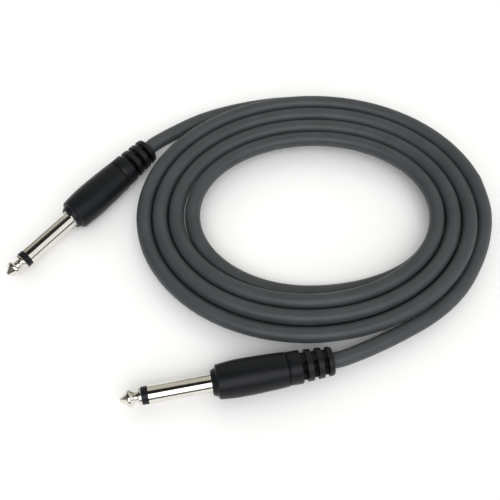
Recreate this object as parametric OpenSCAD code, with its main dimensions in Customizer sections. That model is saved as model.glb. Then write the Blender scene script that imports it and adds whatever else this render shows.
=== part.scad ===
// Instrument cable: a coiled cord with a moulded quarter-inch (6.35 mm) plug on each end.
// The origin is the middle of the coil, on the table that the cable lies on, with Z up.
// Both plugs are alike: each is drawn along +X from the point of its tip, and on_plug() lays
// it on the table with the mouth of its boot where the cord leaves it.

/* [Cord] */
// Outer diameter of the cord's jacket
cord_d = 5.8; // [5:0.1:6.6]
// Diameter of the copper conductor
conductor_d = 0.9; // [0.6:0.1:1.2]
// Diameter of the white insulation round the conductor
core_d = 3; // [2.4:0.1:3.2]
// Thickness of the braided shield
shield_wall = 0.35; // [0.2:0.05:0.4]

/* [Coil] */
// Half the coil's width along X, at the start of its top layer
coil_half_x = 43.6; // [40:0.1:60]
// Half the coil's width along Y, at the start of its top layer
coil_half_y = 31.3; // [28:0.1:45]
// Clear gap between neighbouring turns
turn_gap = 0.45; // [0.42:0.01:0.8]
// Clear height between the two layers
layer_gap = 0.45; // [0.42:0.01:0.8]
// How far the outermost turn hangs down on the near side
outer_sag = 1.8; // [0:0.1:2.2]

/* [Plug contacts] */
// Diameter of the sleeve, which is the size of the jack that takes the plug
sleeve_d = 6.35; // [6.3:0.01:6.4]
// Length of the sleeve that shows, from the black ring to the barrel
sleeve_len = 22.2; // [18:0.1:26]
// Wall of the sleeve's tube
sleeve_wall = 0.9; // [0.7:0.05:1.1]
// Diameter of the flange that holds the sleeve in the moulding
flange_d = 8.4; // [7.8:0.1:9]
// Thickness of the sleeve's flange
flange_t = 1.2; // [0.8:0.1:1.6]
// How far the sleeve's shoulder, which seats in the barrel's nose, stands out
shoulder_step = 0.3; // [0.2:0.05:0.5]
// Length of the tip contact's head
tip_len = 7.7; // [7:0.1:8.4]
// Length of the tip's cone, from its point to its widest place
tip_cone_len = 3.4; // [3:0.1:3.8]
// Diameter of the groove behind the tip's cone
tip_neck_d = 3.7; // [3.2:0.1:4.4]
// Diameter of the tip's rear collar
tip_collar_d = 6; // [5.6:0.05:6]
// Length of the black ring between the tip and the sleeve
ring_len = 2.2; // [1.6:0.1:2.8]
// Diameter of the tip's rod inside the sleeve
rod_d = 2.4; // [2:0.1:2.8]

/* [Plug inside] */
// Thickness of the two solder lugs
lug_t = 0.5; // [0.3:0.05:0.7]
// Thickness of the washer between the two lugs
washer_t = 1.2; // [0.8:0.1:1.6]
// Width of the ground lug's strip
strip_w = 3; // [2.4:0.1:3.6]
// Length of the band that clamps the cord
clamp_len = 3.5; // [2.5:0.1:4]
// Diameter of the inner moulding
inner_mould_d = 10; // [9.6:0.1:10.4]

/* [Barrel] */
// Length of the barrel
barrel_len = 26.7; // [25:0.1:30]
// Widest diameter of the barrel, which rests on the table
barrel_d = 13.36; // [12.8:0.01:15]
// Diameter of the barrel at its front corner and at its rear
barrel_end_d = 12.28; // [11.8:0.01:12.6]
// Diameter of the barrel's nose where the sleeve comes out
nose_d = 8.7; // [8:0.1:9.4]
// Length of the barrel's rounded nose
nose_len = 2.3; // [1.8:0.1:3]
// Distance from the barrel's front to its widest place
bulge_at = 10.7; // [8:0.1:14]

/* [Boot] */
// Width of the groove where the boot meets the barrel
seam_w = 0.3; // [0.2:0.05:0.6]
// Diameter of the boot's collar
collar_d = 11.96; // [11.4:0.02:12.2]
// Length of the boot's collar
collar_len = 4.7; // [4:0.1:6]
// Diameter that the ribs begin with
rib_d = 11.7; // [11.2:0.05:12]
// Number of flexing ribs
rib_count = 3; // [2:1:5]
// Width of a rib
rib_w = 1.95; // [1.6:0.05:2.4]
// Width of the groove in front of a rib
groove_w = 1.9; // [1.4:0.05:2.4]
// Depth of the grooves between the ribs
groove_depth = 0.95; // [0.8:0.05:1.1]
// Depth of the windows in the groove floors
window_depth = 0.7; // [0.4:0.05:0.75]
// Angle that each window spans
window_angle = 95; // [60:5:150]
// Angle between the middle of a window and the upright
window_tilt = 50; // [30:5:90]
// Diameter of the boot at its mouth
mouth_d = 10.3; // [9.8:0.1:10.8]

/* [Clearances] */
// Gap between pieces that are moulded or pressed round each other
seat_gap = 0.05; // [0.02:0.01:0.1]

/* [Hidden] */
PLUGS = ["plug_a", "plug_b"];
PIECES = ["tip_contact", "tip_ring", "rod_insulator", "sleeve", "ground_lug", "rear_washer",
          "tip_lug", "conductor", "core", "shield", "jacket_end", "solder", "inner_mould",
          "barrel", "boot"];

CORD_GREY = [0.50, 0.52, 0.53];
MOULD_BLACK = [0.14, 0.14, 0.15];
NICKEL = [0.78, 0.77, 0.74];
COPPER = [0.72, 0.42, 0.25];
TIN = [0.70, 0.71, 0.72];
MILKY = [0.88, 0.88, 0.85];
smooth_fn = 96;

// Where each plug lies: the middle of its boot's mouth, and the way from its tip to its mouth.
mouth_x = [-63.55, 2.58];
mouth_y = [34.7, -60.08];
plug_heading = [46.6, 8];
axis_z = barrel_d / 2;

// The cord's free stretches, from the mouth of the boot to the coil.
// Each runs straight out of its boot for half a diameter and a little way straight into the coil.
lead_a_points = [
    [-52.4, 43.1, 6.2],
    [-41, 50, 4.9],
    [-28.3, 55, 3.6],
    [-14, 58.1, 2.6]
];
lead_b_points = [
    [67.8, -1.5, 7.1],
    [65.4, -13, 6.2],
    [59.6, -25, 5.9],
    [51.5, -35.6, 5.9],
    [41, -44, 6],
    [29.3, -50.3, 6.3],
    [16.8, -55.8, 6.6]
];

// Sizes that follow from the cord.
cord_r = cord_d / 2;
floor_cut = cord_d / 10;             // depth of the flat that the coil lies on
cord_sides = 8;
coil_sides = 6;
wire_sides = 12;
turn_pitch = cord_d + turn_gap;
layer_step = cord_d + layer_gap;
low_z = cord_r - floor_cut;
joint_len = cord_d / 4;              // straight stretch where the coil and a lead meet
NO_FLOOR = -1000;

// The coil's turns are counted by an angle t that grows clockwise, seen from above.
// It runs inward on the table up to t = 0, then climbs and runs outward on top.
coil_step = 15;                      // 24 rings a turn
coil_from = -870;
coil_to = 1365;
coil_bearing = 300;                  // direction of the point at t = 0, from +X
reversal_offset = 1.07;              // in pitches, where the low layer would reach t = 0
low_shift = [0, 3.6];                // from the middle of the top layer to that of the low one
peel = [0, 2.4];                     // how far the end of the low layer leaves its turn
peel_from = 835;                     // counted back from t = 0
peel_over = 50;
swap_from = -25;
swap_over = 60;                      // angle over which the swell changes layers
climb_from = 10;
climb_over = 150;                    // angle over which the cord climbs a layer
sag_from = 1045;                     // where the outermost turn begins to hang down
sag_over = 110;

// Stations along a plug, from the point of its tip.
sleeve_from = tip_len + ring_len;
barrel_from = sleeve_from + sleeve_len;
nose_wall = 0.8;                     // wall of the barrel in front of the sleeve's flange
flange_from = barrel_from + nose_wall;
ground_lug_from = flange_from + flange_t;
washer_from = ground_lug_from + lug_t + seat_gap;
tip_lug_from = washer_from + washer_t + seat_gap;
rod_to = tip_lug_from + lug_t + 0.6;
wire_space = 11.4;                   // from the tip's rivet to the end of the core
core_from = rod_to + wire_space;     // the core, shield and jacket are stripped in steps
shield_from = core_from - 1;
jacket_from = core_from - 0.5;
clamp_from = jacket_from + 2.2;
barrel_to = barrel_from + barrel_len;
boot_from = barrel_to + seam_w;
spigot_len = 1.8;                    // part of the boot that goes into the barrel
spigot_from = barrel_to - spigot_len;
collar_to = boot_from + collar_len;
rib_pitch = groove_w + rib_w;
plug_len = collar_to + rib_count * rib_pitch;

// Radii that follow from the pieces that they hold.
cord_bore_r = cord_r + seat_gap;
sleeve_bore_r = sleeve_d / 2 - sleeve_wall;
shoulder_r = sleeve_d / 2 + shoulder_step;
spigot_r = inner_mould_d / 2;
washer_r = 2.8;
tip_lug_r = 2.6;
strip_drop = 0.05;                   // from the bore of the lug's band down to its strip
strip_z = -(cord_bore_r + lug_t + strip_drop);
tab_w = 2.2;
tab_z = 2;                           // underside of the tip lug's tab
tab_len = 7;
wire_r = conductor_d / 2;
wire_z = tab_z - seat_gap - wire_r;  // height of the conductor where it is soldered
wire_from = tip_lug_from + 3;
wire_bend_from = wire_from + 4;
tail_r = 0.6;                        // the shield's twisted tail
tail_z = seat_gap + tail_r - cord_bore_r;
tail_from = jacket_from - 7;

function unit(v) = v / norm(v);
function smooth(t) = let (u = max(0, min(1, t))) u * u * (3 - 2 * u);

// ---- The cord -------------------------------------------------------------------------

function on_turn(swell, t) = [
    (coil_half_x + swell) * cos(coil_bearing - t),
    (coil_half_y + swell) * sin(coil_bearing - t)
];
function low_xy(t) = on_turn(turn_pitch * (reversal_offset - t / 360), t) + low_shift
                     + peel * smooth((-t - peel_from) / peel_over);
function top_xy(t) = on_turn(turn_pitch * t / 360, t);
function near_side(t) = pow((1 - sin(coil_bearing - t)) / 2, 2);
function coil_z(t) = low_z + layer_step * smooth((t - climb_from) / climb_over)
                     - outer_sag * smooth((t - sag_from) / sag_over) * near_side(t);
function coil_point(t) = let (m = smooth((t - swap_from) / swap_over),
                              xy = low_xy(t) * (1 - m) + top_xy(t) * m)
    [xy[0], xy[1], coil_z(t)];
function coil_way(t) = unit(coil_point(t + 0.5) - coil_point(t - 0.5));

coil_entry = coil_point(coil_from) - joint_len * coil_way(coil_from);
coil_exit = coil_point(coil_to) + joint_len * coil_way(coil_to);
coil_route = concat([coil_entry],
                    [for (t = [coil_from : coil_step : coil_to]) coil_point(t)],
                    [coil_exit]);

function plug_way(i) = [cos(plug_heading[i]), sin(plug_heading[i]), 0];
function mouth(i) = [mouth_x[i], mouth_y[i], axis_z];

lead_a_route = concat([mouth(0), mouth(0) + cord_r * plug_way(0)],
                      lead_a_points,
                      [coil_entry - joint_len * coil_way(coil_from), coil_entry]);
lead_b_route = concat([coil_exit, coil_exit + joint_len * coil_way(coil_to)],
                      lead_b_points,
                      [mouth(1) + cord_r * plug_way(1), mouth(1)]);

// The way that a route runs at its point i.
function route_way(route, i) =
    unit(route[min(i + 1, len(route) - 1)] - route[max(i - 1, 0)]);

// One ring of a tube. No point of it lies below the floor, which cuts the cord flat.
function ring(centre, way, r, sides, floor) =
    let (across = unit(cross(way, [0, 0, 1])), up = cross(across, way))
    [for (k = [0 : sides - 1])
        let (a = (k + (sides == coil_sides ? 0 : 0.5)) * 360 / sides,
             p = centre + r * (cos(a) * across + sin(a) * up))
        [p[0], p[1], max(floor, p[2])]];

// A tube of flat triangles along a route, closed at both ends.
module tube(route, r, sides, floor = NO_FLOOR) {
    rings = len(route);
    points = [for (i = [0 : rings - 1]) each ring(route[i], route_way(route, i), r, sides, floor)];
    walls = [for (i = [0 : rings - 2]) for (k = [0 : sides - 1])
        let (a = i * sides + k, b = i * sides + (k + 1) % sides)
        each [[a, b + sides, a + sides], [a, b, b + sides]]];
    front = [for (k = [1 : sides - 2]) [0, k + 1, k]];
    last = (rings - 1) * sides;
    back = [for (k = [1 : sides - 2]) [last, last + k, last + k + 1]];
    polyhedron(points, concat(walls, front, back), convexity = 12);
}

// The least gap between the coil's turns, measured on points 5 degrees apart.
// Points closer along the cord than gap_skip steps belong to the same stretch.
gap_points = [for (t = [coil_from : 5 : coil_to]) coil_point(t)];
gap_skip = 12;
last_point = len(gap_points) - 1;
coil_gap = min([for (i = [0 : last_point - gap_skip]) for (j = [i + gap_skip : last_point])
    norm(gap_points[i] - gap_points[j])]) - cord_d;
echo(coil_least_gap = coil_gap);

module lead_a() {
    color(CORD_GREY) tube(lead_a_route, cord_r, cord_sides, 0);
}

module coil() {
    color(CORD_GREY) tube(coil_route, cord_r, coil_sides, 0);
}

module lead_b() {
    color(CORD_GREY) tube(lead_b_route, cord_r, cord_sides, 0);
}

// ---- Shapes that the plug's pieces share ------------------------------------------------

// Lays a plug on the table.
module on_plug(i) {
    translate(mouth(i)) rotate([0, 0, plug_heading[i]]) translate([-plug_len, 0, 0]) children();
}

// Turns an outline of [station, radius] points round the plug's axis.
module turned(outline) {
    rotate([0, 90, 0]) rotate_extrude($fn = smooth_fn)
        polygon([for (p = outline) [p[1], p[0]]]);
}

module rod(from, to, r, z = 0) {
    translate([from, 0, z]) rotate([0, 90, 0]) cylinder(h = to - from, r = r, $fn = smooth_fn);
}

module pipe(from, to, r, bore_r) {
    difference() {
        rod(from, to, r);
        rod(from - 1, to + 1, bore_r);
    }
}

// A bar with round ends from one point to another, both in the plane of X and Z.
module bar(a, b, r) {
    d = b - a;
    translate([a[0], 0, a[1]]) rotate([0, atan2(d[0], d[1]), 0])
        cylinder(h = norm(d), r = r, $fn = smooth_fn);
    for (p = [a, b]) translate([p[0], 0, p[1]]) sphere(r = r, $fn = smooth_fn);
}

// ---- Contacts ---------------------------------------------------------------------------

// The tip with its rod, which runs through the sleeve and is riveted over the tip lug.
module tip_contact() {
    r = sleeve_d / 2;
    neck_from = tip_cone_len + 1.9;
    neck_to = neck_from + 1.1;
    color(NICKEL) turned([
        [0, 0], [0, 0.5], [tip_cone_len - 0.5, r - 0.12], [tip_cone_len, r],
        [tip_cone_len + 0.4, r - 0.05], [neck_from, tip_neck_d / 2], [neck_to, tip_neck_d / 2],
        [tip_len - 0.9, tip_collar_d / 2 - 0.1], [tip_len - 0.7, tip_collar_d / 2],
        [tip_len, tip_collar_d / 2], [tip_len, rod_d / 2], [rod_to, rod_d / 2], [rod_to, 0]
    ]);
}

module tip_ring() {
    color(MOULD_BLACK) pipe(tip_len, sleeve_from, sleeve_d / 2, rod_d / 2 + seat_gap);
}

module rod_insulator() {
    color(MILKY) pipe(sleeve_from, ground_lug_from, sleeve_bore_r - seat_gap, rod_d / 2 + seat_gap);
}

// The sleeve is a tube with a shoulder and a flange that the moulding holds.
module sleeve() {
    color(NICKEL) difference() {
        union() {
            rod(sleeve_from, ground_lug_from, sleeve_d / 2);
            rod(barrel_from, ground_lug_from, shoulder_r);
            rod(flange_from, ground_lug_from, flange_d / 2);
        }
        rod(sleeve_from - 1, ground_lug_from + 1, sleeve_bore_r);
    }
}

// ---- Inside the barrel ------------------------------------------------------------------

// A washer on the sleeve's flange, a strip along the cord and a band round the cord.
module ground_lug() {
    color(TIN) {
        difference() {
            union() {
                rod(ground_lug_from, ground_lug_from + lug_t, flange_d / 2);
                translate([ground_lug_from, -strip_w / 2, strip_z])
                    cube([clamp_from + clamp_len - ground_lug_from, strip_w, lug_t]);
            }
            rod(ground_lug_from - 1, ground_lug_from + lug_t + 1, rod_d / 2 + 1);
        }
        rotate([0, 90, 0]) translate([0, 0, clamp_from]) rotate([0, 0, -100])
            rotate_extrude(angle = 200, $fn = smooth_fn)
                translate([cord_bore_r, 0]) square([lug_t, clamp_len]);
    }
}

module rear_washer() {
    color(MILKY) pipe(washer_from, washer_from + washer_t, washer_r, rod_d / 2 + seat_gap);
}

// A ring on the rod, with a tab that the conductor is soldered to.
module tip_lug() {
    color(TIN) difference() {
        union() {
            rod(tip_lug_from, tip_lug_from + lug_t, tip_lug_r);
            translate([tip_lug_from, -tab_w / 2, tab_z]) cube([tab_len, tab_w, lug_t]);
        }
        rod(tip_lug_from - 1, tip_lug_from + lug_t + 1, rod_d / 2 + seat_gap);
    }
}

// The bare wire rises from the core to the tip lug's tab.
module conductor() {
    color(COPPER) tube([
        [plug_len, 0, 0], [core_from - 1, 0, 0], [wire_bend_from, 0, wire_z], [wire_from, 0, wire_z]
    ], wire_r, wire_sides);
}

module core() {
    color(MILKY) pipe(core_from, plug_len, core_d / 2, wire_r + seat_gap);
}

// The braid round the core, and its twisted tail on the ground lug's strip.
module shield() {
    inner_r = core_d / 2 + seat_gap;
    color(COPPER) {
        pipe(shield_from, plug_len, inner_r + shield_wall, inner_r);
        tube([
            [shield_from + 0.3, 0, -inner_r], [tail_from + 4.2, 0, tail_z], [tail_from, 0, tail_z]
        ], tail_r, wire_sides);
    }
}

module jacket_end() {
    color(CORD_GREY) pipe(jacket_from, plug_len, cord_r, core_d / 2 + shield_wall + 2 * seat_gap);
}

// One drop of solder under the tip lug's tab, and one on the ground lug's strip.
module solder() {
    drop_r = 1.1;
    color(TIN) {
        difference() {
            bar([wire_from + 0.9, wire_z], [wire_from + 2.9, wire_z], drop_r);
            rod(wire_from - 3, wire_bend_from + 1, wire_r + seat_gap, wire_z);
            translate([wire_from - 3, -drop_r - 1, tab_z - seat_gap]) cube([10, 2 * drop_r + 2, 3]);
        }
        difference() {
            bar([tail_from + 0.8, tail_z], [tail_from + 2, tail_z], drop_r);
            rod(tail_from - 3, tail_from + 5, tail_r + seat_gap, tail_z);
            translate([tail_from - 3, -drop_r - 1, seat_gap - cord_bore_r - 3])
                cube([10, 2 * drop_r + 2, 3]);
        }
    }
}

// The first moulding fills the barrel round the lugs and grips the cord.
module inner_mould() {
    from = washer_from;
    color(MILKY) difference() {
        rod(from, spigot_from - seat_gap, inner_mould_d / 2);
        rod(from - 1, spigot_from + 1, cord_bore_r);
        rod(clamp_from - seat_gap, clamp_from + clamp_len + seat_gap, cord_bore_r + lug_t + seat_gap);
        translate([from - 1, -strip_w / 2 - seat_gap, strip_z - seat_gap])
            cube([clamp_from + clamp_len + seat_gap - from + 1, strip_w + 2 * seat_gap,
                  lug_t + cord_bore_r / 2]);
    }
}

// ---- Mouldings that show ----------------------------------------------------------------

// The barrel swells from its front corner to its widest place and narrows to its rear.
function barrel_r(s) = let (low = barrel_end_d / 2, high = barrel_d / 2)
    s < bulge_at
        ? low + (high - low) * sin(90 * (s - nose_len) / (bulge_at - nose_len))
        : low + (high - low) * cos(90 * (s - bulge_at) / (barrel_len - bulge_at));

module barrel() {
    rim_r = barrel_end_d / 2;
    stations = [for (k = [0 : 12]) nose_len + (barrel_len - nose_len) * k / 12];
    color(MOULD_BLACK) difference() {
        turned(concat(
            [[barrel_from, 0], [barrel_from, nose_d / 2], [barrel_from + nose_len * 0.75, rim_r - 1],
             [barrel_from + nose_len * 0.8, rim_r - 0.35]],
            [for (s = stations) [barrel_from + s, barrel_r(s)]],
            [[barrel_to, 0]]));
        rod(barrel_from - 1, barrel_to, shoulder_r + seat_gap);
        rod(flange_from - seat_gap, washer_from, flange_d / 2 + seat_gap);
        rod(washer_from - seat_gap, barrel_to + 1, inner_mould_d / 2 + seat_gap);
    }
}

// Radius of the ribs at a station.
function taper_r(x) = (rib_d + (mouth_d - rib_d) * (x - collar_to) / (plug_len - collar_to)) / 2;

function rib_outline(i) = let (
    from = collar_to + i * rib_pitch + groove_w,
    to = from + rib_w,
    edge = i == rib_count - 1 ? 0.9 : 0.3,
    top = taper_r(from),
    floor_r = top - groove_depth)
    [[from - groove_w, floor_r], [from, floor_r], [from, top - 0.3], [from + 0.3, top],
     [to - edge, taper_r(to)], [to - 0.3 * edge, taper_r(to) - 0.3 * edge], [to, taper_r(to) - edge]];

// The windows are pockets in the groove floors, one on each side of the plug. The one on the
// near side looks up and the one on the far side looks down.
module windows(i) {
    from = collar_to + i * rib_pitch;
    floor_r = taper_r(from + groove_w) - groove_depth;
    for (side = [0, 180])
        rotate([0, 90, 0]) translate([0, 0, from + 0.1])
            rotate([0, 0, side + window_tilt - window_angle / 2])
            rotate_extrude(angle = window_angle, $fn = smooth_fn)
                translate([floor_r - window_depth, 0]) square([window_depth + 1, groove_w - 0.2]);
}

module boot() {
    color(MOULD_BLACK) difference() {
        turned(concat(
            [[spigot_from, 0], [spigot_from, spigot_r], [boot_from, spigot_r],
             [boot_from, collar_d / 2 - 0.15], [boot_from + 0.15, collar_d / 2],
             [collar_to - 0.3, collar_d / 2], [collar_to, collar_d / 2 - 0.3]],
            [for (i = [0 : rib_count - 1]) each rib_outline(i)],
            [[plug_len, 0]]));
        rod(spigot_from - 1, plug_len + 1, cord_bore_r);
        for (i = [0 : rib_count - 1]) windows(i);
    }
}

// ---- What is drawn ------------------------------------------------------------------------

lead_a();
coil();
lead_b();
for (i = [0 : 1]) {
    on_plug(i) tip_contact();
    on_plug(i) tip_ring();
    on_plug(i) rod_insulator();
    on_plug(i) sleeve();
    on_plug(i) ground_lug();
    on_plug(i) rear_washer();
    on_plug(i) tip_lug();
    on_plug(i) conductor();
    on_plug(i) core();
    on_plug(i) shield();
    on_plug(i) jacket_end();
    on_plug(i) solder();
    on_plug(i) inner_mould();
    on_plug(i) barrel();
    on_plug(i) boot();
}
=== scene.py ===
"""Looks of a coiled instrument cable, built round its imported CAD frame."""

import math

import bpy
from bpy.props import FloatProperty, FloatVectorProperty, IntProperty, PointerProperty
from mathutils import Matrix, Vector


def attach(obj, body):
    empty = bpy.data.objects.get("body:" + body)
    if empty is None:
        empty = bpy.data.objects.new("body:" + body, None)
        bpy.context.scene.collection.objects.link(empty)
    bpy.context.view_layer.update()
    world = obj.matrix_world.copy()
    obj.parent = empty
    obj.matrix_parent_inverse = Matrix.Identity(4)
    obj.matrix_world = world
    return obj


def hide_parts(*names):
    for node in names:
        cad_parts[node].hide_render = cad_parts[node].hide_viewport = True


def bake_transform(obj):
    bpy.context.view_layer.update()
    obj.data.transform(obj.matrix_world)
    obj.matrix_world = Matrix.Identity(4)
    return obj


bl_info = {
    "name": "Instrument cable",
    "version": (1, 0, 0),
    "blender": (4, 5, 0),
    "location": "3D View > Sidebar > Cable",
    "description": "A coiled instrument cable with two moulded quarter-inch plugs",
    "category": "Object",
}

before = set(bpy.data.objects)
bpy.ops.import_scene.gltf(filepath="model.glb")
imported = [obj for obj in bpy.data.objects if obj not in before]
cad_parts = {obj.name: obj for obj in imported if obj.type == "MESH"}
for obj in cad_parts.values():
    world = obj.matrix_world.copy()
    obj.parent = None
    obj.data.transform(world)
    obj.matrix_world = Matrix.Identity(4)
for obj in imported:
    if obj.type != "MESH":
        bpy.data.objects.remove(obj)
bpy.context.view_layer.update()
MM = 0.001
PLUGS = ("plug_a", "plug_b")

# The coil, in millimetres. Its turns are counted by an angle t, in degrees, that grows clockwise
# as in the part's source: inward on the table up to t = 0, then up and outward on top.
COIL_HALF = (43.6, 31.3)  # half the oval at the start of the top layer
PITCH = 6.25  # from one turn to the next, and from one layer to the next
COIL_FROM, COIL_TO = -870, 1365
COIL_STEP = 2.5
COIL_BEARING = 300  # direction of the point at t = 0, from +X
REVERSAL_OFFSET = 1.07  # in pitches, where the low layer would reach t = 0
LOW_SHIFT = 3.6  # from the middle of the top layer to that of the low one, along Y
PEEL, PEEL_FROM, PEEL_OVER = 2.4, 835, 50  # how the low layer's end leaves its turn
SWAP_FROM, SWAP_OVER = -25, 60  # where the swell changes layers
LOW_Z = 2.9
CLIMB_FROM, CLIMB_OVER = 10, 150  # where the cord climbs a layer
OUTER_SAG, SAG_FROM, SAG_OVER = 1.8, 1045, 110  # how the outermost turn hangs down in front

# The leads, in millimetres, between the mouths of the boots and the coil.
MOUTHS = (Vector((-63.55, 34.7, 6.68)), Vector((2.58, -60.08, 6.68)))
HEADINGS = (46.6, 8.0)
LEAD_A_POINTS = [
    (-52.4, 43.1, 6.2),
    (-41, 50, 4.9),
    (-28.3, 55, 3.6),
    (-14, 58.1, 2.9),
]
LEAD_B_POINTS = [
    (67.8, -1.5, 7.1),
    (65.4, -13, 6.2),
    (59.6, -25, 5.9),
    (51.5, -35.6, 5.9),
    (41, -44, 6),
    (29.3, -50.3, 6.3),
    (16.8, -55.8, 6.6),
]
LEAD_SPACING = 1.4

# Stations and radii along a plug, from the point of its tip, in millimetres.
TIP_LEN = 7.7
TIP_COLLAR_R = 3.12
SLEEVE_FROM = 9.9
PIN_R = 3.175
SLEEVE_BORE_R = 2.275
ROD_R, ROD_TO = 1.2, 37.0
SHOULDER_R = 3.475
FLANGE_R, FLANGE_FROM, FLANGE_TO = 4.2, 32.9, 34.1
BARREL_FROM, BARREL_TO = 32.1, 58.8
BARREL_LEN = 26.7
BARREL_R = 6.68  # at its widest
BARREL_END_R = 6.14
BULGE_AT = 10.7  # from the barrel's front to its widest place
NOSE_LEN = 2.3
SEAT_GAP = 0.05
SPIGOT_FROM, SPIGOT_R = 57.0, 5.0
BOOT_FROM = 59.1
COLLAR_R, COLLAR_TO = 5.98, 63.8
PLUG_LEN = 75.35
RIB_R, MOUTH_R = 5.85, 5.15  # the ribs taper from the one to the other
MOUTH_ROUND = 0.9
BOOT_BORE_R = 2.95

# The grooves and windows of a boot, in metres and degrees.
GROOVE_EDGE = 0.00016  # length over which a groove reaches its depth
SKIN_FROM, SKIN_FULL = 0.0006, 0.0012  # outside the bore, where cutting begins and is full
WINDOW_TILT = 50  # of a window's middle from the upright
WINDOW_RIM = (0.65, 0.71)  # cosines between which a window's end slopes

# The picture: the photograph looks down on the cable at about 61 degrees.
CAMERA_AT = Vector((-31.48, -154.62, 264.0)) * MM
CAMERA_AIM = Vector((-24.04, -10.52, 0)) * MM
SENSOR = 36
LENS = 18.035 / math.tan(math.radians(18))
FLOOR_HALF, FLOOR_Z = 3.0, -0.0001
LAMP_AT, LAMP_SIZE = (-0.4, 0.15, 1.0), 2.2

# What the plating mirrors: the way to each wall, and the cosines between which it fades in.
WALLS = {
    "front": ((0.30, -0.91, -0.28), -0.03, 0.01),
    "behind": ((0.52, 0.78, -0.34), -0.03, 0.0),
    "low_front": ((0, -0.325, -0.946), -0.01, 0.01),
    "left": ((-1, 0, 0), 0.45, 0.60),
    "low": ((0, 0, -1), -0.55, -0.40),
    "window": ((0.05, -0.62, 0.78), 0.86, 0.96),
}
WHITE = (1.0, 1.0, 1.0)
PALE = (0.57, 0.56, 0.49)
GREY = (0.15, 0.15, 0.15)
DARK = (0.01, 0.01, 0.01)
WINDOW_GAIN = 1.8


class CableSettings(bpy.types.PropertyGroup):
    """Sizes and colour of the cord."""

    diameter: FloatProperty(
        name="Diameter",
        description="Outer diameter of the cord's jacket",
        default=0.0058,
        min=0.004,
        max=0.008,
        precision=4,
        unit="LENGTH",
    )
    sides: IntProperty(
        name="Sides", description="Sides of the cord's tube", default=28, min=8, max=64
    )
    colour: FloatVectorProperty(
        name="Jacket",
        description="Colour of the jacket",
        default=(0.048, 0.054, 0.058),
        subtype="COLOR",
        min=0,
        max=1,
    )


class PlugSettings(bpy.types.PropertyGroup):
    """Sizes and colours of the plugs."""

    mould_colour: FloatVectorProperty(
        name="Mould",
        description="Colour of the barrel and the boot",
        default=(0.0072, 0.0084, 0.0100),
        subtype="COLOR",
        min=0,
        max=1,
    )
    nickel_colour: FloatVectorProperty(
        name="Nickel",
        description="Colour of the plated contacts",
        default=(0.80, 0.77, 0.72),
        subtype="COLOR",
        min=0,
        max=1,
    )
    rib_pitch: FloatProperty(
        name="Rib pitch",
        description="Distance from one rib of the boot to the next",
        default=0.00385,
        precision=5,
        unit="LENGTH",
    )
    groove_width: FloatProperty(
        name="Groove width",
        description="Width of the groove in front of a rib",
        default=0.0019,
        precision=5,
        unit="LENGTH",
    )
    groove_depth: FloatProperty(
        name="Groove depth",
        description="Depth of the grooves of the boot",
        default=0.00095,
        precision=5,
        unit="LENGTH",
    )
    window_depth: FloatProperty(
        name="Window depth",
        description="Depth of the windows in the grooves",
        default=0.0007,
        precision=5,
        unit="LENGTH",
    )


class StageSettings(bpy.types.PropertyGroup):
    """Floor and light."""

    floor_colour: FloatVectorProperty(
        name="Floor",
        description="Colour of the floor",
        default=(0.98, 0.98, 0.98),
        subtype="COLOR",
        min=0,
        max=1,
    )
    key_power: FloatProperty(
        name="Key light",
        description="Power of the soft light overhead",
        default=10.5,
        min=0,
        unit="POWER",
    )
    world_strength: FloatProperty(
        name="World", description="Strength of the light all round", default=1.0, min=0
    )


# ---- Node trees ---------------------------------------------------------------------------


def put(tree, value, socket):
    """Links a socket, or sets a constant, on an input."""
    if isinstance(value, bpy.types.NodeSocket):
        tree.links.new(value, socket)
    else:
        socket.default_value = value


def calc(tree, operation, *values):
    """A Math node in any tree: its output."""
    node = tree.nodes.new("ShaderNodeMath")
    node.operation = operation
    for value, socket in zip(values, node.inputs):
        put(tree, value, socket)
    return node.outputs[0]


def product(tree, first, *others):
    """All the values multiplied, from the first to the last."""
    for other in others:
        first = calc(tree, "MULTIPLY", first, other)
    return first


def ease(tree, value, low, high):
    """0 below low, 1 above high and smooth between them."""
    node = tree.nodes.new("ShaderNodeMapRange")
    node.interpolation_type = "SMOOTHSTEP"
    put(tree, value, node.inputs["Value"])
    put(tree, low, node.inputs["From Min"])
    put(tree, high, node.inputs["From Max"])
    return node.outputs["Result"]


def material(name, colour, roughness, metallic=0.0, specular=0.5):
    """A new material: (material, its tree, its Principled shader)."""
    made = bpy.data.materials.new(name)
    made.use_nodes = True
    made.diffuse_color = (*colour, 1)
    shader = made.node_tree.nodes["Principled BSDF"]
    shader.inputs["Base Color"].default_value = (*colour, 1)
    shader.inputs["Roughness"].default_value = roughness
    shader.inputs["Metallic"].default_value = metallic
    shader.inputs["Specular IOR Level"].default_value = specular
    return made, made.node_tree, shader


def noise(tree, scale, detail=2.0):
    """A noise on Object coordinates: its factor."""
    place = tree.nodes.new("ShaderNodeTexCoord")
    texture = tree.nodes.new("ShaderNodeTexNoise")
    texture.inputs["Scale"].default_value = scale
    texture.inputs["Detail"].default_value = detail
    tree.links.new(place.outputs["Object"], texture.inputs["Vector"])
    return texture.outputs["Fac"]


def attribute(tree, name):
    """The factor of a named attribute of the mesh."""
    node = tree.nodes.new("ShaderNodeAttribute")
    node.attribute_name = name
    return node.outputs["Fac"]


def mix_colours(tree, factor, low, high):
    """A colour between two sockets or constants by a factor."""
    node = tree.nodes.new("ShaderNodeMix")
    node.data_type = "RGBA"
    put(tree, factor, node.inputs[0])
    for value, socket in ((low, node.inputs[6]), (high, node.inputs[7])):
        put(tree, (*value, 1) if isinstance(value, tuple) else value, socket)
    return node.outputs[2]


def toward(tree, direction, way):
    """How far a direction points one way: the cosine between the two."""
    node = tree.nodes.new("ShaderNodeVectorMath")
    node.operation = "DOT_PRODUCT"
    node.inputs[1].default_value = way
    tree.links.new(direction, node.inputs[0])
    return node.outputs["Value"]


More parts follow.
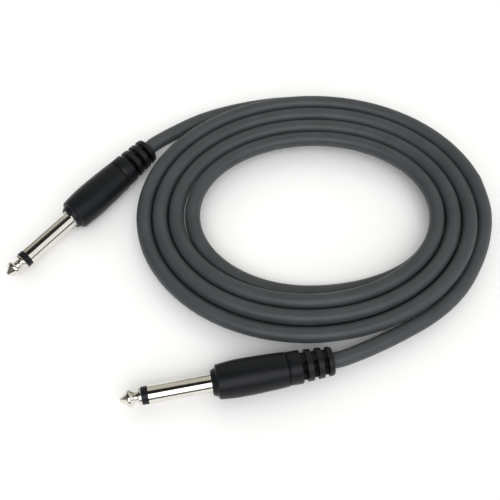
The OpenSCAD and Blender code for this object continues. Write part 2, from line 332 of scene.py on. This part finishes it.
def scaled(colour, by):
    """A colour made darker or lighter."""
    return tuple(min(1.0, part * by) for part in colour)


def mottle(tree, factor, colour, low, high):
    """A colour that wanders between two shades of itself."""
    return mix_colours(tree, factor, scaled(colour, low), scaled(colour, high))


def bump(tree, shader, height, strength, distance):
    """Fine relief on a shader's surface."""
    node = tree.nodes.new("ShaderNodeBump")
    node.inputs["Strength"].default_value = strength
    node.inputs["Distance"].default_value = distance
    tree.links.new(height, node.inputs["Height"])
    tree.links.new(node.outputs["Normal"], shader.inputs["Normal"])


def vary(tree, shader, name, factor, span, least):
    """Lets a value of the shader go from least to least + span with a factor."""
    tree.links.new(calc(tree, "MULTIPLY_ADD", factor, span, least), shader.inputs[name])


def jacket_material(colour):
    """Matt grey rubber-like jacket, faintly mottled."""
    made, tree, shader = material("rubber_jacket", colour, 0.5, specular=0.42)
    blotch = ease(tree, noise(tree, 90, 3.0), 0.3, 0.7)
    tree.links.new(mottle(tree, blotch, colour, 0.9, 1.08), shader.inputs["Base Color"])
    vary(tree, shader, "Roughness", noise(tree, 240), 0.16, 0.38)
    bump(tree, shader, noise(tree, 3000), 0.12, 0.0001)
    return made


def mould_material(colour):
    """Black moulded plastic, satin, with painted shade darkening its grooves, which also reflect
    less, and lighter where its ribs are worn.
    """
    made, tree, shader = material("moulded_black", colour, 0.34)
    groove = attribute(tree, "groove")
    base = mottle(tree, noise(tree, 120), colour, 0.8, 1.25)
    # Painted shade: the base colour falls to 0.35 of itself in the grooves, most in the windows.
    base = mix_colours(tree, groove, base, scaled(colour, 0.35))
    worn = product(tree, attribute(tree, "crest"), ease(tree, noise(tree, 420, 3.0), 0.25, 0.6))
    base = mix_colours(tree, worn, base, (0.012, 0.0126, 0.0148))
    tree.links.new(base, shader.inputs["Base Color"])
    vary(tree, shader, "Specular IOR Level", groove, -0.14, 0.19)
    vary(tree, shader, "Roughness", noise(tree, 300), 0.14, 0.29)
    bump(tree, shader, noise(tree, 2200), 0.15, 0.00008)
    return made


def nickel_material(colour):
    """Bright plating with fine turning marks round the pin."""
    made, tree, shader = material("nickel_plate", colour, 0.14, metallic=1.0)
    marks = tree.nodes.new("ShaderNodeTexNoise")
    marks.noise_dimensions = "1D"
    marks.inputs["Scale"].default_value = 1.0
    marks.inputs["Detail"].default_value = 3.0
    tree.links.new(product(tree, attribute(tree, "station"), 5000.0), marks.inputs["W"])
    vary(tree, shader, "Roughness", marks.outputs["Fac"], 0.14, 0.07)
    shade = mottle(tree, noise(tree, 200, 3.0), colour, 0.93, 1.04)
    tree.links.new(shade, shader.inputs["Base Color"])
    return made


def plain_material(name, colour, roughness, metallic=0.0, specular=0.5):
    """A hidden or small piece's finish, with a faint mottle."""
    made, tree, shader = material(name, colour, roughness, metallic, specular)
    shade = mottle(tree, noise(tree, 500), colour, 0.88, 1.08)
    tree.links.new(shade, shader.inputs["Base Color"])
    return made


def jacket_finish(context):
    """The jacket's material, made once."""
    return bpy.data.materials.get("rubber_jacket") or jacket_material(
        tuple(context.scene.cable_cord.colour)
    )


def mould_finish(context):
    """The mould's material, made once."""
    return bpy.data.materials.get("moulded_black") or mould_material(
        tuple(context.scene.cable_plug.mould_colour)
    )


# ---- Meshes -------------------------------------------------------------------------------


def new_object(name, mesh):
    """An object with that mesh, in the scene."""
    made = bpy.data.objects.new(name, mesh)
    bpy.context.scene.collection.objects.link(made)
    return made


def plain_mesh(source, name):
    """The evaluated object as a plain mesh object of that name; the source goes."""
    bpy.context.view_layer.update()
    graph = bpy.context.evaluated_depsgraph_get()
    mesh = bpy.data.meshes.new_from_object(source.evaluated_get(graph))
    mesh.name = name
    old = source.data
    bpy.data.objects.remove(source)
    if old.users == 0:
        bpy.data.meshes.remove(old)
    return new_object(name, mesh)


def plug_matrix(i):
    """From a plug's own stations, in millimetres, to the frame."""
    place = Matrix.Translation(MOUTHS[i] * MM) @ Matrix.Rotation(
        math.radians(HEADINGS[i]), 4, "Z"
    )
    return place @ Matrix.Scale(MM, 4) @ Matrix.Translation((-PLUG_LEN, 0, 0))


def lathe(name, outline, sides, closed=False):
    """Turns (station, radius) points round X; closed joins the last point to the first."""
    vertices, rings, stations = [], [], []
    for station, radius in outline:
        if radius < 1e-6:
            rings.append([len(vertices)] * sides)
            vertices.append((station, 0, 0))
            stations.append(station)
            continue
        rings.append(range(len(vertices), len(vertices) + sides))
        for k in range(sides):
            a = 2 * math.pi * k / sides
            vertices.append((station, radius * math.cos(a), radius * math.sin(a)))
            stations.append(station)
    faces = []
    pairs = list(zip(rings, rings[1:])) + ([(rings[-1], rings[0])] if closed else [])
    for first, second in pairs:
        for k in range(sides):
            n = (k + 1) % sides
            corners = [first[k], first[n], second[n], second[k]]
            corners = [c for at, c in enumerate(corners) if c not in corners[:at]]
            if len(corners) > 2:
                faces.append(corners)
    mesh = bpy.data.meshes.new(name)
    mesh.from_pydata(vertices, [], faces)
    mesh.attributes.new("station", "FLOAT", "POINT").data.foreach_set(
        "value", [s * MM for s in stations]
    )
    return mesh


def finish_mesh(mesh, matrix, sharp_deg=34.0):
    """Smooth shading with sharp edges kept, and the mesh put in its place."""
    mesh.transform(matrix)
    mesh.validate()
    mesh.shade_smooth()
    mesh.set_sharp_from_angle(angle=math.radians(sharp_deg))
    mesh.update()


def rounded(points, radius, steps=4):
    """An outline with its inner corners rounded."""
    made = [points[0]]
    for before, at, after in zip(points, points[1:], points[2:]):
        a, b, c = Vector(before), Vector(at), Vector(after)
        reach = min(radius, (a - b).length * 0.45, (c - b).length * 0.45)
        p, q = b + (a - b).normalized() * reach, b + (c - b).normalized() * reach
        for k in range(steps + 1):
            u = k / steps
            made.append(tuple(p * (1 - u) ** 2 + b * 2 * u * (1 - u) + q * u * u))
    return made + [points[-1]]


def smooth(u):
    """0 below 0, 1 above 1 and smooth between them."""
    u = max(0.0, min(1.0, u))
    return u * u * (3 - 2 * u)


# ---- The cord's route -----------------------------------------------------------------------


def on_turn(swell, t):
    """The oval's point at t, swollen outward."""
    a = math.radians(COIL_BEARING - t)
    return Vector(((COIL_HALF[0] + swell) * math.cos(a), (COIL_HALF[1] + swell) * math.sin(a)))


def coil_point(t):
    """A point of the coil's centre line, in millimetres."""
    aside = LOW_SHIFT + PEEL * smooth((-t - PEEL_FROM) / PEEL_OVER)
    low = on_turn(PITCH * (REVERSAL_OFFSET - t / 360), t) + Vector((0, aside))
    top = on_turn(PITCH * t / 360, t)
    place = low.lerp(top, smooth((t - SWAP_FROM) / SWAP_OVER))
    near = ((1 - math.sin(math.radians(COIL_BEARING - t))) / 2) ** 2
    climb = PITCH * smooth((t - CLIMB_FROM) / CLIMB_OVER)
    sag = OUTER_SAG * smooth((t - SAG_FROM) / SAG_OVER) * near
    return Vector((place.x, place.y, LOW_Z + climb - sag))


def coil_way(t):
    """The way the coil runs at t."""
    return (coil_point(t + 0.5) - coil_point(t - 0.5)).normalized()


def plug_way(i):
    """The way from a plug's tip to its mouth."""
    a = math.radians(HEADINGS[i])
    return Vector((math.cos(a), math.sin(a), 0))


def through(points):
    """A smooth line through the points: a centripetal Catmull-Rom spline."""
    points = [Vector(p) for p in points]
    points = [2 * points[0] - points[1]] + points + [2 * points[-1] - points[-2]]
    made = []
    for a, b, c, d in zip(points, points[1:], points[2:], points[3:]):
        t1 = (b - a).length ** 0.5
        t2 = t1 + (c - b).length ** 0.5
        t3 = t2 + (d - c).length ** 0.5
        count = max(2, round((c - b).length / LEAD_SPACING))
        for k in range(count):
            t = t1 + (t2 - t1) * k / count
            ab = a * ((t1 - t) / t1) + b * (t / t1)
            bc = b * ((t2 - t) / (t2 - t1)) + c * ((t - t1) / (t2 - t1))
            cd = c * ((t3 - t) / (t3 - t2)) + d * ((t - t2) / (t3 - t2))
            left = ab * ((t2 - t) / t2) + bc * (t / t2)
            right = bc * ((t3 - t) / (t3 - t1)) + cd * ((t - t1) / (t3 - t1))
            made.append(left * ((t2 - t) / (t2 - t1)) + right * ((t - t1) / (t2 - t1)))
    return made + [points[-2]]


def routes(diameter):
    """The centre lines of lead_a, coil and lead_b, in metres."""
    r = diameter / MM / 2
    joint = r / 2
    entry = coil_point(COIL_FROM) - joint * coil_way(COIL_FROM)
    leave = coil_point(COIL_TO) + joint * coil_way(COIL_TO)
    steps = round((COIL_TO - COIL_FROM) / COIL_STEP)
    turns = [coil_point(COIL_FROM + COIL_STEP * k) for k in range(steps + 1)]
    lead_a = through(
        [MOUTHS[0], MOUTHS[0] + r * plug_way(0)]
        + LEAD_A_POINTS
        + [entry - joint * coil_way(COIL_FROM), entry]
    )
    lead_b = through(
        [leave, leave + joint * coil_way(COIL_TO)]
        + LEAD_B_POINTS
        + [MOUTHS[1] + r * plug_way(1), MOUTHS[1]]
    )
    return {
        "lead_a": [p * MM for p in lead_a],
        "coil": [p * MM for p in [entry] + turns + [leave]],
        "lead_b": [p * MM for p in lead_b],
    }


def sockets(tree, direction, kind, *names):
    """Adds sockets of one kind to a Geometry Nodes tree's interface."""
    for name in names:
        tree.interface.new_socket(name, in_out=direction, socket_type="NodeSocket" + kind)


def tube_tree():
    """Geometry Nodes: a round tube with closed ends along the object's line of edges."""
    tree = bpy.data.node_groups.new("Cord tube", "GeometryNodeTree")
    sockets(tree, "INPUT", "Geometry", "Line")
    sockets(tree, "INPUT", "Float", "Radius")
    sockets(tree, "INPUT", "Int", "Sides")
    sockets(tree, "INPUT", "Material", "Material")
    sockets(tree, "OUTPUT", "Geometry", "Tube")
    given = tree.nodes.new("NodeGroupInput")
    line = tree.nodes.new("GeometryNodeMeshToCurve")
    profile = tree.nodes.new("GeometryNodeCurvePrimitiveCircle")
    tube = tree.nodes.new("GeometryNodeCurveToMesh")
    real = tree.nodes.new("GeometryNodeRealizeInstances")
    finish = tree.nodes.new("GeometryNodeSetMaterial")
    out = tree.nodes.new("NodeGroupOutput")
    tube.inputs["Fill Caps"].default_value = True
    for source, target in (
        (given.outputs["Line"], line.inputs["Mesh"]),
        (given.outputs["Sides"], profile.inputs["Resolution"]),
        (given.outputs["Radius"], profile.inputs["Radius"]),
        (line.outputs["Curve"], tube.inputs["Curve"]),
        (profile.outputs["Curve"], tube.inputs["Profile Curve"]),
        (tube.outputs["Mesh"], real.inputs["Geometry"]),
        (real.outputs["Geometry"], finish.inputs["Geometry"]),
        (given.outputs["Material"], finish.inputs["Material"]),
        (finish.outputs["Geometry"], out.inputs["Tube"]),
    ):
        tree.links.new(source, target)
    return tree


def use_tree(made, tree, values):
    """Puts a Geometry Nodes modifier on the object and sets its named inputs."""
    modifier = made.modifiers.new(tree.name, "NODES")
    modifier.node_group = tree
    for item in tree.interface.items_tree:
        if item.in_out == "INPUT" and item.name in values:
            modifier[item.identifier] = values[item.name]


def lay_tube(name, points, tree, values):
    """A plain mesh tube along the points."""
    mesh = bpy.data.meshes.new(name)
    mesh.from_pydata(points, [(i, i + 1) for i in range(len(points) - 1)], [])
    source = new_object(name + "_line", mesh)
    use_tree(source, tree, values)
    made = plain_mesh(source, name)
    made.data.shade_smooth()
    made.data.set_sharp_from_angle(angle=math.radians(50))
    return made


# ---- The boot's ribs ------------------------------------------------------------------------


def rib_tree():
    """Geometry Nodes: cuts the grooves, and the windows in their floors, into the boot."""
    tree = bpy.data.node_groups.new("Boot ribs", "GeometryNodeTree")
    sockets(tree, "INPUT", "Geometry", "Boot")
    sockets(
        tree, "INPUT", "Float",
        "From", "Pitch", "Groove width", "Groove depth", "Window depth", "Bore",
    )
    sockets(tree, "INPUT", "Material", "Material")
    sockets(tree, "OUTPUT", "Geometry", "Boot")
    given = tree.nodes.new("NodeGroupInput")
    place = tree.nodes.new("GeometryNodeInputPosition")
    split = tree.nodes.new("ShaderNodeSeparateXYZ")
    tree.links.new(place.outputs[0], split.inputs[0])
    x, y, z = split.outputs
    squares = calc(tree, "ADD", product(tree, y, y), product(tree, z, z))
    radius = calc(tree, "SQRT", squares)

    # Along the boot: 1 in a groove and 0 on a rib and on the collar.
    along = calc(tree, "SUBTRACT", x, given.outputs["From"])
    phase = calc(tree, "FLOORED_MODULO", along, given.outputs["Pitch"])
    inside = calc(tree, "GREATER_THAN", along, 0.0)
    width = given.outputs["Groove width"]
    rise = ease(tree, phase, calc(tree, "SUBTRACT", width, GROOVE_EDGE), width)
    groove = product(
        tree, ease(tree, phase, 0.0, GROOVE_EDGE), calc(tree, "SUBTRACT", 1.0, rise), inside
    )

    # Outward: 0 at the bore, which stays as it is, and 1 on the skin.
    outside = ease(
        tree,
        radius,
        calc(tree, "ADD", given.outputs["Bore"], SKIN_FROM),
        calc(tree, "ADD", given.outputs["Bore"], SKIN_FULL),
    )

    # Round the boot: 1 in the two windows, which face each other, and 0 between them.
    tilt = math.radians(WINDOW_TILT)
    upright = product(tree, z, math.cos(tilt))
    facing = calc(tree, "MULTIPLY_ADD", y, -math.sin(tilt), upright)
    cosine = calc(tree, "DIVIDE", calc(tree, "ABSOLUTE", facing), radius)
    window = ease(tree, cosine, *WINDOW_RIM)

    deeper = product(tree, given.outputs["Window depth"], window)
    depth = calc(tree, "ADD", given.outputs["Groove depth"], deeper)
    share = calc(tree, "DIVIDE", product(tree, depth, groove, outside, -1.0), radius)
    offset = tree.nodes.new("ShaderNodeCombineXYZ")
    tree.links.new(product(tree, y, share), offset.inputs["Y"])
    tree.links.new(product(tree, z, share), offset.inputs["Z"])
    cut = tree.nodes.new("GeometryNodeSetPosition")
    tree.links.new(offset.outputs[0], cut.inputs["Offset"])

    # What the mould's material reads: its worn crests, and how much painted shade falls in its
    # grooves, most in the windows.
    crest = product(tree, calc(tree, "SUBTRACT", 1.0, groove), inside)
    shade = product(tree, groove, calc(tree, "MULTIPLY_ADD", window, 0.6, 0.4))
    boot = given.outputs["Boot"]
    for name, value in (("crest", crest), ("groove", shade)):
        store = tree.nodes.new("GeometryNodeStoreNamedAttribute")
        store.data_type = "FLOAT"
        store.inputs["Name"].default_value = name
        tree.links.new(value, store.inputs["Value"])
        tree.links.new(boot, store.inputs["Geometry"])
        boot = store.outputs["Geometry"]
    real = tree.nodes.new("GeometryNodeRealizeInstances")
    finish = tree.nodes.new("GeometryNodeSetMaterial")
    out = tree.nodes.new("NodeGroupOutput")
    for source, target in (
        (boot, cut.inputs["Geometry"]),
        (cut.outputs["Geometry"], real.inputs["Geometry"]),
        (real.outputs["Geometry"], finish.inputs["Geometry"]),
        (given.outputs["Material"], finish.inputs["Material"]),
        (finish.outputs["Geometry"], out.inputs["Boot"]),
    ):
        tree.links.new(source, target)
    return tree


# ---- Operators ------------------------------------------------------------------------------


def turned_piece(i, part, outline, finish, closed=False, sides=96):
    """A turned piece of plug i, in place, standing for its CAD node."""
    node = f"{PLUGS[i]}_{part}"
    mesh = lathe(node + "_skin", outline, sides, closed)
    finish_mesh(mesh, plug_matrix(i))
    mesh.materials.append(finish)
    made = new_object(node + "_skin", mesh)
    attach(made, PLUGS[i])
    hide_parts(node)


class CABLE_OT_stage(bpy.types.Operator):
    """Makes the camera, the floor and the soft light"""

    bl_idname = "cable.stage"
    bl_label = "Stage"

    def execute(self, context):
        settings = context.scene.cable_stage
        scene = context.scene
        scene.view_settings.view_transform = "Standard"
        eye = bpy.data.objects.new("camera", bpy.data.cameras.new("camera"))
        scene.collection.objects.link(eye)
        eye.location = CAMERA_AT
        eye.rotation_euler = (CAMERA_AIM - eye.location).to_track_quat("-Z", "Y").to_euler()
        eye.data.sensor_width = SENSOR
        eye.data.lens = LENS
        eye.data.clip_start = 0.01
        scene.camera = eye

        mesh = bpy.data.meshes.new("floor")
        size = FLOOR_HALF
        corners = [(-size, -size, 0), (size, -size, 0), (size, size, 0), (-size, size, 0)]
        mesh.from_pydata(corners, [], [(0, 1, 2, 3)])
        floor = new_object("floor", mesh)
        floor.location.z = FLOOR_Z
        made, _, _ = material("floor", tuple(settings.floor_colour), 0.9, specular=0.1)
        mesh.materials.append(made)

        lamp = bpy.data.objects.new("key", bpy.data.lights.new("key", "AREA"))
        lamp.data.shape = "RECTANGLE"
        lamp.data.size = lamp.data.size_y = LAMP_SIZE
        lamp.data.energy = settings.key_power
        lamp.location = LAMP_AT
        lamp.rotation_euler = (-lamp.location).to_track_quat("-Z", "Y").to_euler()
        lamp.visible_glossy = False
        scene.collection.objects.link(lamp)
        self.light_world(scene, settings.world_strength)
        return {"FINISHED"}

    @staticmethod
    def light_world(scene, strength):
        """A room for the plating to mirror, pale behind and white in front; seen, it is white."""
        world = bpy.data.worlds.new("studio")
        world.use_nodes = True
        tree = world.node_tree
        sky = tree.nodes.new("ShaderNodeTexCoord").outputs["Generated"]
        share = {
            name: ease(tree, toward(tree, sky, way), low, high)
            for name, (way, low, high) in WALLS.items()
        }
        dark = product(
            tree,
            calc(tree, "SUBTRACT", 1.0, share["front"]),
            calc(tree, "SUBTRACT", 1.0, share["behind"]),
        )
        colour = mix_colours(tree, share["front"], PALE, WHITE)
        colour = mix_colours(tree, dark, colour, DARK)
        colour = mix_colours(tree, share["low_front"], colour, DARK)
        colour = mix_colours(tree, product(tree, share["left"], share["low"]), colour, GREY)
        seen = tree.nodes.new("ShaderNodeLightPath").outputs["Is Camera Ray"]
        colour = mix_colours(tree, seen, colour, WHITE)
        shader = tree.nodes["Background"]
        tree.links.new(colour, shader.inputs["Color"])
        vary(tree, shader, "Strength", share["window"], WINDOW_GAIN * strength, strength)
        scene.world = world


class CABLE_OT_cord(bpy.types.Operator):
    """Lays the cord: the coil and the lead to each plug"""

    bl_idname = "cable.cord"
    bl_label = "Cord"

    def execute(self, context):
        settings = context.scene.cable_cord
        tree = tube_tree()
        values = {
            "Radius": settings.diameter / 2,
            "Sides": settings.sides,
            "Material": jacket_finish(context),
        }
        lines = routes(settings.diameter)
        facts = {
            "coil": ("coiled", lines["coil"][0], "object"),
            "lead_a": ("loose", lines["lead_a"][-1], "plug"),
            "lead_b": ("loose", lines["lead_b"][0], "plug"),
        }
        for node, (lay, leave, far_end) in facts.items():
            made = lay_tube("cable_" + node, lines[node], tree, values)
            if node == "coil":
                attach(made, "cord")
            else:
                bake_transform(made)
            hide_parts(node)
        return {"FINISHED"}


class CABLE_OT_contacts(bpy.types.Operator):
    """Turns the tip contacts, the black rings behind them and the sleeves"""

    bl_idname = "cable.contacts"
    bl_label = "Contacts"

    def execute(self, context):
        nickel = nickel_material(tuple(context.scene.cable_plug.nickel_colour))
        black = plain_material("black_insulator", (0.008, 0.009, 0.013), 0.3, specular=0.22)
        # The cone, the neck and the collar of the tip, then its rod inside the sleeve.
        tip = rounded(
            [
                (0, 0), (0.05, 0.6), (2.9, 3.03), (3.3, PIN_R), (3.8, 3.12), (5.3, 1.85),
                (6.3, 1.85), (6.7, 2.95), (6.9, TIP_COLLAR_R), (TIP_LEN, TIP_COLLAR_R),
                (TIP_LEN, ROD_R),
            ],
            0.22,
        )
        tip += [(ROD_TO, ROD_R), (ROD_TO, 0)]
        ring = [
            (TIP_LEN, 3.05), (TIP_LEN + 0.1, PIN_R), (SLEEVE_FROM, PIN_R),
            (SLEEVE_FROM, ROD_R + SEAT_GAP), (TIP_LEN, ROD_R + SEAT_GAP),
        ]
        sleeve = [
            (SLEEVE_FROM, PIN_R - 0.12), (SLEEVE_FROM + 0.12, PIN_R), (21.0, PIN_R),
            (BARREL_FROM, PIN_R), (BARREL_FROM, SHOULDER_R), (FLANGE_FROM, SHOULDER_R),
            (FLANGE_FROM, FLANGE_R), (FLANGE_TO, FLANGE_R), (FLANGE_TO, SLEEVE_BORE_R),
            (SLEEVE_FROM, SLEEVE_BORE_R),
        ]
        for i in range(2):
            turned_piece(i, "tip_contact", tip, nickel)
            turned_piece(i, "tip_ring", ring, black, closed=True)
            turned_piece(i, "sleeve", sleeve, nickel, closed=True)
        return {"FINISHED"}


class CABLE_OT_barrels(bpy.types.Operator):
    """Turns the two moulded barrels"""

    bl_idname = "cable.barrels"
    bl_label = "Barrels"

    def execute(self, context):
        finish = mould_finish(context)
        low = BARREL_END_R
        corner = NOSE_LEN + 0.2
        nose = rounded(
            [
                (BARREL_FROM, SHOULDER_R + SEAT_GAP), (BARREL_FROM, 4.35),
                (BARREL_FROM + 1.73, low - 1), (BARREL_FROM + 1.84, low - 0.35),
                (BARREL_FROM + NOSE_LEN, low), (BARREL_FROM + corner, low),
            ],
            0.2,
        )
        swell = []
        count = 30
        for k in range(1, count + 1):
            s = corner + (BARREL_LEN - corner) * k / count
            if s < BULGE_AT:
                u = (s - NOSE_LEN) / (BULGE_AT - NOSE_LEN)
            else:
                u = 1 + (s - BULGE_AT) / (BARREL_LEN - BULGE_AT)
            swell.append((BARREL_FROM + s, low + (BARREL_R - low) * math.sin(math.pi / 2 * u)))
        swell[-1] = (BARREL_TO - 0.12, low)
        # The rear rim, then the hollow from the back to the front.
        hollow_r, hollow_from = SPIGOT_R + SEAT_GAP, 35.95
        seat_r, seat_from = FLANGE_R + 0.1, FLANGE_FROM - SEAT_GAP
        outline = nose + swell + [
            (BARREL_TO, low - 0.12), (BARREL_TO, hollow_r), (hollow_from, hollow_r),
            (hollow_from, seat_r), (seat_from, seat_r), (seat_from, SHOULDER_R + SEAT_GAP),
        ]
        for i in range(2):
            turned_piece(i, "barrel", outline, finish, closed=True, sides=128)
        return {"FINISHED"}


class CABLE_OT_boots(bpy.types.Operator):
    """Makes the two strain-relief boots with their ribs and windows"""

    bl_idname = "cable.boots"
    bl_label = "Boots"

    def execute(self, context):
        settings = context.scene.cable_plug
        finish = mould_finish(context)
        tree = rib_tree()
        outline = [
            (SPIGOT_FROM, BOOT_BORE_R), (SPIGOT_FROM, SPIGOT_R), (BOOT_FROM, SPIGOT_R),
            (BOOT_FROM, COLLAR_R - 0.15), (BOOT_FROM + 0.15, COLLAR_R), (61.5, COLLAR_R),
            (COLLAR_TO - 0.35, COLLAR_R), (COLLAR_TO - 0.1, COLLAR_R - 0.05),
        ]
        count = 200
        for k in range(count + 1):
            s = COLLAR_TO + (PLUG_LEN - COLLAR_TO) * k / count
            taper = RIB_R + (MOUTH_R - RIB_R) * (s - COLLAR_TO) / (PLUG_LEN - COLLAR_TO)
            back = max(0.0, s - (PLUG_LEN - MOUTH_ROUND)) / MOUTH_ROUND
            fall = MOUTH_ROUND * (1 - math.sqrt(max(0.0, 1 - back * back)))
            outline.append((s, taper - fall))
        outline.append((PLUG_LEN, BOOT_BORE_R + 0.1))
        outline.append((PLUG_LEN - 0.1, BOOT_BORE_R))
        for i in range(2):
            node = PLUGS[i] + "_boot"
            mesh = lathe(node, [(s * MM, r * MM) for s, r in outline], 144, closed=True)
            source = new_object(node + "_source", mesh)
            use_tree(
                source,
                tree,
                {
                    "From": COLLAR_TO * MM,
                    "Pitch": settings.rib_pitch,
                    "Groove width": settings.groove_width,
                    "Groove depth": settings.groove_depth,
                    "Window depth": settings.window_depth,
                    "Bore": BOOT_BORE_R * MM,
                    "Material": finish,
                },
            )
            made = plain_mesh(source, node + "_skin")
            finish_mesh(made.data, plug_matrix(i) @ Matrix.Scale(1 / MM, 4), 46.0)
            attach(made, PLUGS[i])
            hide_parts(node)
        return {"FINISHED"}


class CABLE_OT_inside(bpy.types.Operator):
    """Gives the pieces inside each plug their finishes"""

    bl_idname = "cable.inside"
    bl_label = "Inside"

    def execute(self, context):
        tin = plain_material("tinned_metal", (0.62, 0.63, 0.64), 0.32, 1.0)
        copper = plain_material("copper_wire", (0.75, 0.38, 0.22), 0.3, 1.0)
        solder = plain_material("solder", (0.66, 0.67, 0.68), 0.24, 1.0)
        milky = plain_material("milky_plastic", (0.78, 0.78, 0.74), 0.45)
        finishes = {
            "ground_lug": tin,
            "tip_lug": tin,
            "conductor": copper,
            "shield": copper,
            "solder": solder,
            "rod_insulator": milky,
            "rear_washer": milky,
            "core": milky,
            "inner_mould": milky,
            "jacket_end": jacket_finish(context),
        }
        for plug in PLUGS:
            for part, finish in finishes.items():
                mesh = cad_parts[f"{plug}_{part}"].data
                mesh.materials.clear()
                mesh.materials.append(finish)
        return {"FINISHED"}


class CABLE_PT_panel(bpy.types.Panel):
    """Lists the cable's settings and its pieces in the sidebar."""

    bl_idname = "CABLE_PT_panel"
    bl_label = "Instrument cable"
    bl_space_type = "VIEW_3D"
    bl_region_type = "UI"
    bl_category = "Cable"

    def draw(self, context):
        layout = self.layout
        scene = context.scene
        for settings in (scene.cable_stage, scene.cable_cord, scene.cable_plug):
            for name in type(settings).__annotations__:
                layout.prop(settings, name)
        for operator in OPERATORS:
            layout.operator(operator.bl_idname)


OPERATORS = (
    CABLE_OT_stage,
    CABLE_OT_cord,
    CABLE_OT_contacts,
    CABLE_OT_barrels,
    CABLE_OT_boots,
    CABLE_OT_inside,
)
CLASSES = (CableSettings, PlugSettings, StageSettings, *OPERATORS, CABLE_PT_panel)


def register():
    """Makes the classes and their settings known."""
    for cls in CLASSES:
        bpy.utils.register_class(cls)
    bpy.types.Scene.cable_cord = PointerProperty(type=CableSettings)
    bpy.types.Scene.cable_plug = PointerProperty(type=PlugSettings)
    bpy.types.Scene.cable_stage = PointerProperty(type=StageSettings)


def unregister():
    """Takes them away again."""
    del bpy.types.Scene.cable_stage
    del bpy.types.Scene.cable_plug
    del bpy.types.Scene.cable_cord
    for cls in reversed(CLASSES):
        bpy.utils.unregister_class(cls)


def main():
    """Builds the whole scene."""
    register()
    bpy.ops.cable.stage()
    bpy.ops.cable.cord()
    bpy.ops.cable.contacts()
    bpy.ops.cable.barrels()
    bpy.ops.cable.boots()
    bpy.ops.cable.inside()


if __name__ == "__main__":
    main()
